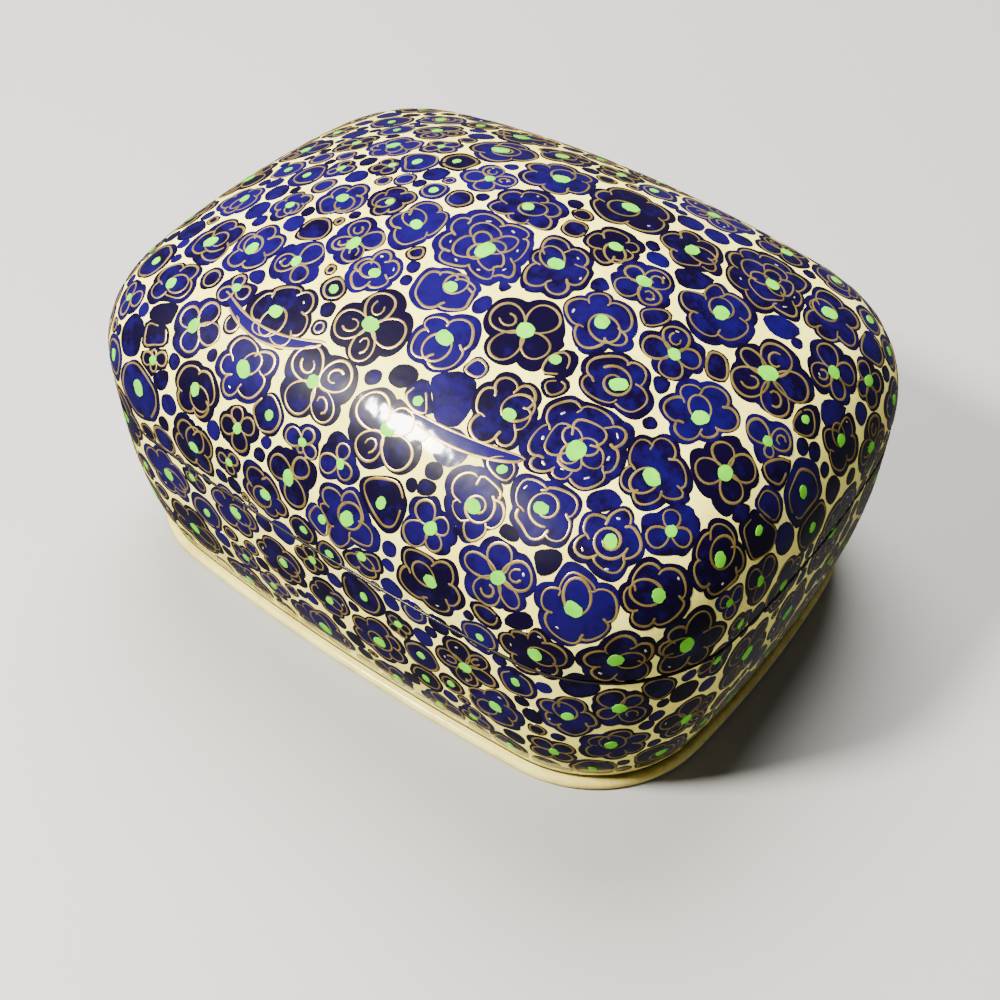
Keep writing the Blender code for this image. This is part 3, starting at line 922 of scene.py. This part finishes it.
def mesh_piece(name, points, quads, tris, materials, sharp=40.0):
    """A mesh from arrays of corners, smooth but for its sharp edges, riding on the one body."""
    corners = np.concatenate([quads.ravel(), tris.ravel()]).astype(np.int32)
    sizes = np.concatenate([np.full(len(quads), 4), np.full(len(tris), 3)]).astype(np.int32)
    mesh = bpy.data.meshes.new(name)
    mesh.vertices.add(len(points))
    mesh.vertices.foreach_set("co", np.ascontiguousarray(points, np.float32).ravel())
    mesh.loops.add(len(corners))
    mesh.loops.foreach_set("vertex_index", corners)
    mesh.polygons.add(len(sizes))
    mesh.polygons.foreach_set("loop_start", (np.cumsum(sizes) - sizes).astype(np.int32))
    mesh.polygons.foreach_set("loop_total", sizes)
    mesh.update(calc_edges=True)
    mesh.validate()
    mesh.shade_smooth()
    mesh.set_sharp_from_angle(angle=math.radians(sharp))
    for material in materials:
        mesh.materials.append(material)
    piece = bpy.data.objects.new(name, mesh)
    bpy.context.scene.collection.objects.link(piece)
    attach(piece, ONE_BODY)
    return piece


def shell_piece(name, rows, start, end, materials, inside_and_seam_shade_rows=0):
    """A closed shell from rows of points and two poles, with a second material on its first rows."""
    row_count, around = rows.shape[:2]
    points = np.concatenate([rows.reshape(-1, 3), [start, end]])
    grid = np.arange(row_count * around).reshape(row_count, around)
    turned = np.roll(grid, -1, axis=1)
    quads = np.stack([grid[:-1], turned[:-1], turned[1:], grid[1:]], axis=2).reshape(-1, 4)
    low, high = row_count * around, row_count * around + 1
    first = np.column_stack([grid[0], np.full(around, low), turned[0]])
    last = np.column_stack([grid[-1], turned[-1], np.full(around, high)])
    tris = np.concatenate([first, last])
    piece = mesh_piece(name, points, quads, tris, materials)
    if len(materials) > 1:
        kinds = np.zeros(len(quads) + len(tris), np.int32)
        kinds[: inside_and_seam_shade_rows * around] = 1
        kinds[len(quads) : len(quads) + around] = 1
        piece.data.polygons.foreach_set("material_index", kinds)
    return piece


@functools.cache
def painting(size_values, paint_values):
    """The whole layout: each blossom's map, cell and lines, worked out once for all pieces."""
    sizes, paint = box_settings()
    rng = np.random.default_rng(paint.seed)
    centres, radii, ways = set_out(sizes, paint, rng)
    maps, first, second = polar_maps(sizes, centres, rng.normal(size=centres.shape))
    edges = cell_edges(paint, centres, radii, first, second)
    reach = np.sqrt(np.mean(edges**2, axis=1))
    drawings = [blossom_drawing(rng, *one, paint.margin) for one in zip(edges, reach, ways)]
    films = paint.film + paint.film_spread * rng.random(len(drawings))
    leaves, places = seen_on_skin(sizes, SEEN_LEAVES)
    right = camera_axes(PICTURE_VIEW)[1]
    leaf_maps = polar_maps(sizes, places, np.broadcast_to(right, places.shape))[0]
    return {
        "radii": np.concatenate([reach, [leaf.half_length_mm / 1000 for leaf in leaves]]),
        "maps": np.concatenate([maps, leaf_maps]),
        "drawings": drawings + [leaf_drawing(leaf) for leaf in leaves],
        "films": np.concatenate([films, np.full(len(leaves), paint.film + 1.5 * paint.film_spread)]),
    }


def painting_now():
    """The layout for the present settings."""
    sizes, paint = box_settings()
    names = ("seed", "overlap", "border", "margin", "film", "film_spread")
    return painting(
        rounded(getattr(sizes, name) for name in BoxSizes.__annotations__),
        rounded(getattr(paint, name) for name in names),
    )


def split_at_seam(sizes, points, owner):
    """Which components stand on the lid and which on the lower box, their points cut at the seam."""
    count = owner.max() + 1
    low, high = np.full(count, 9.0), np.full(count, -9.0)
    np.minimum.at(low, owner, points[:, 2])
    np.maximum.at(high, owner, points[:, 2])
    middle = LID_EDGE - sizes.seam_gap / 2
    lid, body = points.copy(), points.copy()
    # The paint stops short of the rounded edges at the seam, so that their black, painted shade of the
    # seam gap, shows all round.
    lid[:, 2] = np.maximum(lid[:, 2], LID_EDGE + 0.5 * sizes.edge_round)
    body[:, 2] = np.minimum(body[:, 2], seam_height(sizes) - sizes.edge_round)
    return ((high > middle)[owner], lid), ((low < middle)[owner], body)


def kept_part(keep, points, quads, tris, values):
    """Only the points that are kept, with the faces and values that go with them."""
    number = np.cumsum(keep) - 1
    quads = number[quads[keep[quads[:, 0]]]]
    tris = number[tris[keep[tris[:, 0]]]]
    return points[keep], quads, tris, values[keep]


def paint_pieces(name, points, quads, tris, owner, tone, material, sharp=40.0):
    """One painted piece on the lid and one on the lower box."""
    sizes = bpy.context.scene.trinket_box
    for place, (keep, cut) in zip(("lid", "body"), split_at_seam(sizes, points, owner)):
        if not keep.any():
            continue
        part = kept_part(keep, cut, quads, tris, tone)
        piece = mesh_piece(f"{place}_{name}", *part[:3], [material], sharp)
        attribute = piece.data.attributes.new("tone", "FLOAT", "POINT")
        attribute.data.foreach_set("value", part[3].astype(np.float32))


def new_material(name):
    """A node material and its shader."""
    material = bpy.data.materials.new(name)
    material.use_nodes = True
    return material, material.node_tree, material.node_tree.nodes["Principled BSDF"]


def noise(tree, scale, detail=4.0, roughness=0.55):
    """Noise over the object's own coordinates."""
    place = tree.nodes.new("ShaderNodeTexCoord")
    texture = tree.nodes.new("ShaderNodeTexNoise")
    texture.inputs["Scale"].default_value = scale
    texture.inputs["Detail"].default_value = detail
    texture.inputs["Roughness"].default_value = roughness
    tree.links.new(place.outputs["Object"], texture.inputs["Vector"])
    return texture.outputs["Fac"]


def ramp(tree, value, stops):
    """Colours laid along a value."""
    node = tree.nodes.new("ShaderNodeValToRGB")
    elements = node.color_ramp.elements
    while len(elements) < len(stops):
        elements.new(0.5)
    for element, (place, colour) in zip(elements, stops):
        element.position = place
        element.color = (*colour, 1.0)
    tree.links.new(value, node.inputs["Fac"])
    return node.outputs["Color"]


def varnished(tree, shader, colour, roughness, coat, coat_roughness, ripple, depth):
    """Paint under a clear coat, with a low ripple of the brushed lacquer in its normals."""
    tree.links.new(colour, shader.inputs["Base Color"])
    shader.inputs["Roughness"].default_value = roughness
    shader.inputs["Specular IOR Level"].default_value = 0.08
    shader.inputs["Coat IOR"].default_value = 1.3
    shader.inputs["Coat Weight"].default_value = coat
    shader.inputs["Coat Roughness"].default_value = coat_roughness
    bump = tree.nodes.new("ShaderNodeBump")
    bump.inputs["Strength"].default_value = 1.0
    bump.inputs["Distance"].default_value = depth
    tree.links.new(noise(tree, ripple, detail=2.0), bump.inputs["Height"])
    tree.links.new(bump.outputs["Normal"], shader.inputs["Normal"])
    tree.links.new(bump.outputs["Normal"], shader.inputs["Coat Normal"])


def ground_material(paint):
    """Cream lacquer with yellowed clouds and small specks."""
    material, tree, shader = new_material("cream_ground")
    cream, straw = np.array(paint.cream), np.array(paint.straw)
    cloud = noise(tree, scale=70.0, detail=5.0, roughness=0.6)
    clouds = ramp(tree, cloud, ((0.36, straw), (0.54, cream)))
    speck = noise(tree, scale=900.0, detail=3.0)
    specks = ramp(tree, speck, ((0.3, (0.72, 0.66, 0.5)), (0.42, (1, 1, 1))))
    mix = tree.nodes.new("ShaderNodeMix")
    mix.data_type = "RGBA"
    mix.blend_type = "MULTIPLY"
    mix.inputs["Factor"].default_value = 0.6
    tree.links.new(clouds, mix.inputs["A"])
    tree.links.new(specks, mix.inputs["B"])
    varnished(
        tree, shader, mix.outputs["Result"], roughness=0.42,
        coat=0.9, coat_roughness=0.09, ripple=160.0, depth=0.00012,
    )
    return material


def blue_material(paint):
    """Blue paint, thin and bright in places, and darker where it is thick and at its edges."""
    material, tree, shader = new_material("blue_petals")
    tone = tree.nodes.new("ShaderNodeAttribute")
    tone.attribute_name = "tone"
    streaks = noise(tree, scale=330.0, detail=6.0, roughness=0.7)
    add = tree.nodes.new("ShaderNodeMath")
    add.operation = "MULTIPLY_ADD"
    add.inputs[1].default_value = 0.34
    tree.links.new(tone.outputs["Fac"], add.inputs[0])
    tree.links.new(streaks, add.inputs[2])
    navy, bright = np.array(paint.navy), np.array(paint.ultramarine)
    stops = (0.45, navy), (0.56, navy * 0.5 + bright * 0.5), (0.72, bright)
    colour = ramp(tree, add.outputs[0], stops)
    varnished(
        tree, shader, colour, roughness=0.38,
        coat=1.0, coat_roughness=0.07, ripple=190.0, depth=0.00012,
    )
    return material


def gold_material(paint):
    """Bronze powder paint, uneven in tone, and pale where the tone attribute says so."""
    material, tree, shader = new_material("gold_lines")
    gold = np.array(paint.gold)
    stops = (0.34, gold * 0.62), (0.5, gold), (0.68, np.minimum(gold * 1.3, 1))
    colour = ramp(tree, noise(tree, scale=260.0, detail=3.0), stops)
    tone = tree.nodes.new("ShaderNodeAttribute")
    tone.attribute_name = "tone"
    mix = tree.nodes.new("ShaderNodeMix")
    mix.data_type = "RGBA"
    mix.inputs["B"].default_value = (*paint.white, 1.0)
    tree.links.new(tone.outputs["Fac"], mix.inputs["Factor"])
    tree.links.new(colour, mix.inputs["A"])
    shader.inputs["Metallic"].default_value = 0.72
    varnished(
        tree, shader, mix.outputs["Result"], roughness=0.4,
        coat=0.6, coat_roughness=0.12, ripple=700.0, depth=0.00002,
    )
    return material


def plain_paint(name, colour, roughness, coat, spread=0.14, scale=300.0):
    """One colour of paint, a little lighter and darker in clouds, made once."""
    if name in bpy.data.materials:
        return bpy.data.materials[name]
    material, tree, shader = new_material(name)
    colour = np.array(colour)
    stops = (0.35, colour * (1 - spread)), (0.62, np.minimum(colour * (1 + spread), 1))
    shade = ramp(tree, noise(tree, scale, detail=3.0), stops)
    varnished(
        tree, shader, shade, roughness=roughness,
        coat=coat, coat_roughness=0.1, ripple=200.0, depth=0.00006,
    )
    return material


def foot_material(paint):
    """Cream lacquer of the foot, greyer and darker than the ground's, with darker patches at random."""
    material, tree, shader = new_material("foot_cream")
    cream = np.array(paint.cream) * (0.76, 0.73, 1.0)
    straw = np.array(paint.straw) * (0.70, 0.66, 1.0)
    stops = (0.28, straw * 0.75), (0.4, straw), (0.54, cream)
    foot_patches = ramp(tree, noise(tree, scale=130.0, detail=6.0, roughness=0.7), stops)
    varnished(
        tree, shader, foot_patches, roughness=0.45,
        coat=0.7, coat_roughness=0.14, ripple=260.0, depth=0.0001,
    )
    return material


def material_named(name, make, paint):
    """The material of this name, made the first time it is asked for."""
    return bpy.data.materials.get(name) or make(paint)


def shell_materials(paint):
    """What both shells are finished with: cream ground outside, and dull black inside and on the rounded
    edges at the seam, where the black is painted shade of the seam gap.
    """
    ground = material_named("cream_ground", ground_material, paint)
    # The black is the lacquer inside the box, and also painted shade on the shells' rounded edges at the
    # seam.
    inside = plain_paint("black_inside_and_seam_shade", paint.black, roughness=0.45, coat=0.3)
    return [ground, inside]


# Steps round the edges at the seam and round the fillet and the foot's edges, rows up the wall's inner
# and outer side, and how far the collar's top is cut back for the lid.
EDGE_STEPS, FILLET_STEPS, INNER_ROWS, OUTER_ROWS = 4, 6, 16, 26
COLLAR_LEAD_IN = 0.0005


class TRINKETBOX_OT_lid(bpy.types.Operator):
    """The lid: a pillow-shaped shell, cream outside and black inside and on its rounded bottom edge,
    where the black is painted shade of the seam
    """

    bl_idname = "trinket_box.lid"
    bl_label = "Lid"

    def execute(self, context):
        sizes, paint = box_settings()
        inner, ceiling = shoulder_rows(sizes, sizes.wall)
        outer, top = shoulder_rows(sizes, 0.0)
        cos, sin = quarter_turn(0, 1, EDGE_STEPS)
        turn = sizes.edge_round
        edge = carried(
            sizes,
            np.concatenate([sizes.wall - turn * (1 - cos), turn * (1 - sin)]),
            np.concatenate([LID_EDGE + turn * (1 - sin), LID_EDGE + turn * (1 - cos)]),
        )
        rows = np.concatenate([inner[::-1], edge, outer])
        # The black also runs over the lid's rounded bottom edge: painted shade of the seam gap.
        inside_and_seam_shade_rows = len(inner) + 2 * EDGE_STEPS
        lid = shell_piece("lid_shell", rows, ceiling, top, shell_materials(paint), inside_and_seam_shade_rows)
        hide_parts("lid")
        return {"FINISHED"}


class TRINKETBOX_OT_body(bpy.types.Operator):
    """The lower box: tucked-in walls, a collar for the lid and a floor"""

    bl_idname = "trinket_box.body"
    bl_label = "Lower box"

    def execute(self, context):
        sizes, paint = box_settings()
        seam = seam_height(sizes)
        floor = WALL_FOOT + sizes.wall
        collar_out = sizes.wall + sizes.lid_clearance
        collar_in = collar_out + sizes.collar_wall
        collar_top = BODY_HIGH.z
        collar_foot = seam - sizes.collar_depth
        cos, sin = quarter_turn(0, 1, FILLET_STEPS)
        fillet_z = floor + sizes.floor_fillet * (1 - cos)
        fillet = wall_inset(sizes, fillet_z) + sizes.wall + sizes.floor_fillet * (1 - sin)
        rise_z = np.linspace(fillet_z[-1], collar_foot - (collar_in - sizes.wall), INNER_ROWS)[1:]
        rise = wall_inset(sizes, rise_z) + sizes.wall
        turn = sizes.edge_round
        round_cos, round_sin = quarter_turn(0, 1, EDGE_STEPS)
        wall_z = np.linspace(seam - turn, WALL_FOOT, OUTER_ROWS)[1:]
        collar = [collar_in, collar_in, collar_out + COLLAR_LEAD_IN, collar_out, collar_out]
        collar_z = [collar_foot, collar_top, collar_top, collar_top - COLLAR_LEAD_IN, seam]
        wall = wall_inset(sizes, wall_z)
        insets = np.concatenate([fillet, rise, collar, turn * (1 - round_sin), wall])
        heights = np.concatenate([fillet_z, rise_z, collar_z, seam - turn * (1 - round_cos), wall_z])
        rows = carried(sizes, insets, heights)
        # The black also covers the lower box's rounded top edge at the seam: painted shade of the seam
        # gap.
        inside_and_seam_shade_rows = len(fillet) + len(rise) + len(collar) + EDGE_STEPS
        poles = (0, 0, floor), (0, 0, WALL_FOOT)
        body = shell_piece("body_shell", rows, *poles, shell_materials(paint), inside_and_seam_shade_rows)
        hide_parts("box_body")
        return {"FINISHED"}


# The dark line in the crease above the foot: an oval bead, its middle above the wall's foot, how far it
# stands out of the wall, and half its height and depth.
CREASE_RISE, CREASE_OUT = 0.00030, 0.00005
CREASE_HALF_HEIGHT, CREASE_HALF_DEPTH = 0.00034, 0.00012
CREASE_POINTS = 8


class TRINKETBOX_OT_foot(bpy.types.Operator):
    """The foot board, its rim plain cream, with a dark line in the crease above it"""

    bl_idname = "trinket_box.foot"
    bl_label = "Foot"

    def execute(self, context):
        sizes, paint = box_settings()
        rim_inset = HALF_LENGTH - FOOT_HIGH.x
        edge = min(sizes.foot_edge, FOOT_EDGE_SHARE * FOOT_HIGH.z)
        insets, heights = [], []
        for centre, start in ((edge, -1), (FOOT_HIGH.z - edge, 0)):
            cos, sin = quarter_turn(start, start + 1, FILLET_STEPS)
            insets.append(rim_inset + edge * (1 - cos))
            heights.append(centre + edge * sin)
        rows = carried(sizes, np.concatenate(insets), np.concatenate(heights))
        ground = material_named("foot_cream", foot_material, paint)
        foot = shell_piece("foot_rim", rows, (0, 0, 0), (0, 0, FOOT_HIGH.z), [ground])
        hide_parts("foot_board")
        angle = np.linspace(0, TURN, CREASE_POINTS, endpoint=False)[::-1]
        z = WALL_FOOT + CREASE_RISE + CREASE_HALF_HEIGHT * np.sin(angle)
        inset = wall_inset(sizes, z) - CREASE_OUT - CREASE_HALF_DEPTH * np.cos(angle)
        ring = carried(sizes, inset, z)
        grid = np.arange(ring.shape[0] * ring.shape[1]).reshape(ring.shape[:2])
        after, below = np.roll(grid, -1, axis=1), np.roll(grid, -1, axis=0)
        quads = np.stack([grid, after, np.roll(after, -1, axis=0), below], axis=2).reshape(-1, 4)
        dark = plain_paint("olive_line", paint.olive, roughness=0.5, coat=0.5, spread=0.5, scale=500.0)
        line = mesh_piece("foot_line", ring.reshape(-1, 3), quads, np.empty((0, 3), int), [dark])
        return {"FINISHED"}


# Spacing of the rings in a blossom's blue, how bright the blue of one blossom is on the whole and how
# far one differs from another, how much darker its rim is, and a hand's slip from blue to gold.
BLUE_RINGS = 0.0012
TONE_MIDDLE, TONE_SPREAD, RIM_DARKER = 0.16, 0.34, 0.3
SLIP = 0.00022

# A green centre's radius as a share of its blossom's, and its least and most.
CENTRE_SHARE, CENTRE_LEAST, CENTRE_MOST = 0.19, 0.00072, 0.00121
CENTRE_POINTS, CENTRE_DOME = 16, 0.00003


class TRINKETBOX_OT_petals(bpy.types.Operator):
    """The blue of every blossom and bud, one piece on the lid and one on the lower box"""

    bl_idname = "trinket_box.petals"
    bl_label = "Blue petals"

    def execute(self, context):
        sizes, paint = box_settings()
        work = painting_now()
        rng = np.random.default_rng(paint.seed + 1)
        outlines = [drawing.outline for drawing in work["drawings"]]
        rings = [max(int(size / BLUE_RINGS), 1) + 2 for size in work["radii"]]
        flat, height, quads, tris, owner, share = discs(
            outlines, np.zeros((len(rings), 2)), rings, work["films"], paint.sunk, dome=0.0
        )
        points = onto_skin(sizes, work["maps"], owner, flat, height)
        own_tone = np.clip(rng.normal(TONE_MIDDLE, TONE_SPREAD, len(rings)), -RIM_DARKER, 1.0)
        tone = own_tone[owner] - RIM_DARKER * share**4
        material = material_named("blue_petals", blue_material, paint)
        paint_pieces("petals", points, quads, tris, owner, tone, material, sharp=12.0)
        return {"FINISHED"}


class TRINKETBOX_OT_lines(bpy.types.Operator):
    """The gold lines and pale touches of the blossoms, drawn as low beads of paint"""

    bl_idname = "trinket_box.lines"
    bl_label = "Gold lines"

    def execute(self, context):
        sizes, paint = box_settings()
        work = painting_now()
        rng = np.random.default_rng(paint.seed + 2)
        strokes, blossom, pale = [], [], []
        for number, drawing in enumerate(work["drawings"]):
            slip = rng.normal(0, SLIP, 2) if drawing.dotted else np.zeros(2)
            strokes += [line + slip for line in drawing.strokes] + drawing.touches
            pale += [0.0] * len(drawing.strokes) + [1.0] * len(drawing.touches)
            blossom += [number] * (len(drawing.strokes) + len(drawing.touches))
        blossom, pale = np.array(blossom), np.array(pale)
        widths = paint.line_width * rng.uniform(*LINE_WIDTHS, len(strokes)) * (1 - PALE_NARROWER * pale)
        flat, height, quads, tris, owner = stroke_beads(strokes, widths, paint, rng)
        height = height + work["films"][blossom[owner]]
        points = onto_skin(sizes, work["maps"], blossom[owner], flat, height)
        material = material_named("gold_lines", gold_material, paint)
        paint_pieces("lines", points, quads, tris, owner, pale[owner], material, sharp=70.0)
        return {"FINISHED"}


class TRINKETBOX_OT_centres(bpy.types.Operator):
    """The green centres of the blossoms"""

    bl_idname = "trinket_box.centres"
    bl_label = "Green centres"

    def execute(self, context):
        sizes, paint = box_settings()
        work = painting_now()
        rng = np.random.default_rng(paint.seed + 3)
        with_dot = np.flatnonzero([drawing.dotted for drawing in work["drawings"]])
        angle = np.arange(CENTRE_POINTS) * TURN / CENTRE_POINTS
        outlines, centres = [], []
        for size in work["radii"][with_dot]:
            radius = np.clip(size * CENTRE_SHARE, CENTRE_LEAST, CENTRE_MOST) * rng.uniform(0.88, 1.15)
            turn, stretch = rng.uniform(0, TURN), rng.uniform(1.0, 1.35)
            shape = 1 + (stretch - 1) * np.cos(angle - turn) ** 2 + 0.05 * rng.normal(size=CENTRE_POINTS)
            outlines.append(polar(radius * shape, angle))
            centres.append(rng.normal(0, size * 0.07, 2))
        tops = work["films"][with_dot] + paint.line_height * 1.2
        rings = [3] * len(outlines)
        flat, height, quads, tris, owner, _ = discs(
            outlines, np.array(centres), rings, tops, paint.sunk, CENTRE_DOME
        )
        points = onto_skin(sizes, work["maps"], with_dot[owner], flat, height)
        material = plain_paint("green_centres", paint.leaf, roughness=0.4, coat=0.9)
        paint_pieces("centres", points, quads, tris, owner, np.zeros(len(points)), material)
        return {"FINISHED"}


# Lamps: the way to each from the point that the camera looks at, how far off it is, its width, its
# power and its colour. The key lamp alone shows as a reflection in the varnish.
Lamp = namedtuple("Lamp", "name direction away width power tint")
KEY = "key_light"
LAMPS = (
    Lamp(KEY, (-0.395, -0.545, 0.74), 0.62, 0.11, 17.0, (1.0, 0.97, 0.89)),
    Lamp("top_light", (-0.45, 0.55, 1.1), 1.2, 0.9, 56.0, (1.0, 0.99, 0.96)),
)
ROOM_COLOUR, ROOM_STRENGTH = (0.90, 0.90, 0.94, 1.0), 0.10


class TRINKETBOX_OT_stage(bpy.types.Operator):
    """The pale floor, the soft lights and the camera"""

    bl_idname = "trinket_box.stage"
    bl_label = "Stage"

    def execute(self, context):
        stage = context.scene.trinket_box_stage
        half = stage.floor_size / 2
        corners = np.array([[-half, -half, 0], [half, -half, 0], [half, half, 0], [-half, half, 0]])
        mesh = bpy.data.meshes.new("floor")
        mesh.from_pydata(corners.tolist(), [], [(0, 1, 2, 3)])
        floor_paint, tree, shader = new_material("pale_floor")
        colour = np.array(stage.floor_colour)
        shade = ramp(tree, noise(tree, 3.0, 2.0), ((0.3, colour * 0.98), (0.7, colour * 1.02)))
        tree.links.new(shade, shader.inputs["Base Color"])
        shader.inputs["Roughness"].default_value = 0.6
        mesh.materials.append(floor_paint)
        floor = bpy.data.objects.new("floor", mesh)
        context.scene.collection.objects.link(floor)
        floor.visible_glossy = False
        world = bpy.data.worlds.new("soft_room")
        world.use_nodes = True
        background = world.node_tree.nodes["Background"]
        background.inputs["Color"].default_value = ROOM_COLOUR
        background.inputs["Strength"].default_value = ROOM_STRENGTH
        context.scene.world = world
        target = Vector(stage.target)
        for wanted in LAMPS:
            lamp = bpy.data.lights.new(wanted.name, "AREA")
            lamp.shape = "DISK"
            lamp.size = wanted.width
            lamp.energy = wanted.power
            lamp.color = wanted.tint
            holder = bpy.data.objects.new(wanted.name, lamp)
            towards = Vector(wanted.direction).normalized()
            holder.location = target + towards * wanted.away
            holder.visible_glossy = wanted.name == KEY
            holder.rotation_mode = "QUATERNION"
            holder.rotation_quaternion = towards.to_track_quat("Z", "Y")
            context.scene.collection.objects.link(holder)
        camera = bpy.data.objects.new("camera", bpy.data.cameras.new("camera"))
        camera.data.lens = stage.lens
        camera.data.sensor_width = FRAME_MM
        camera.data.clip_start = 0.01
        eye, right, up, back = (Vector(part) for part in camera_axes(stage))
        camera.matrix_world = Matrix.Translation(eye) @ Matrix((right, up, back)).transposed().to_4x4()
        context.scene.collection.objects.link(camera)
        context.scene.camera = camera
        return {"FINISHED"}


class TRINKETBOX_PT_panel(bpy.types.Panel):
    """Lists the steps in the 3D view's sidebar"""

    bl_idname = "TRINKETBOX_PT_panel"
    bl_label = "Trinket box"
    bl_space_type = "VIEW_3D"
    bl_region_type = "UI"
    bl_category = "Trinket box"

    def draw(self, context):
        column = self.layout.column()
        for step in STEPS:
            column.operator(step.bl_idname)
        for group in ("trinket_box", "trinket_box_paint", "trinket_box_stage"):
            settings = getattr(context.scene, group)
            for name in settings.__annotations__:
                column.prop(settings, name)


STEPS = (
    TRINKETBOX_OT_foot,
    TRINKETBOX_OT_body,
    TRINKETBOX_OT_lid,
    TRINKETBOX_OT_petals,
    TRINKETBOX_OT_lines,
    TRINKETBOX_OT_centres,
    TRINKETBOX_OT_stage,
)
CLASSES = (BoxSizes, PaintSettings, StageSettings, *STEPS, TRINKETBOX_PT_panel)


def register():
    """Registers the classes and hangs the settings on the scene."""
    for kind in CLASSES:
        bpy.utils.register_class(kind)
    bpy.types.Scene.trinket_box = PointerProperty(type=BoxSizes)
    bpy.types.Scene.trinket_box_paint = PointerProperty(type=PaintSettings)
    bpy.types.Scene.trinket_box_stage = PointerProperty(type=StageSettings)


def unregister():
    """Takes the settings and the classes away again."""
    del bpy.types.Scene.trinket_box_stage
    del bpy.types.Scene.trinket_box_paint
    del bpy.types.Scene.trinket_box
    for kind in reversed(CLASSES):
        bpy.utils.unregister_class(kind)


def main():
    """Builds every piece in order."""
    register()
    for step in STEPS:
        group, name = step.bl_idname.split(".")
        getattr(getattr(bpy.ops, group), name)()


if __name__ == "__main__":
    main()
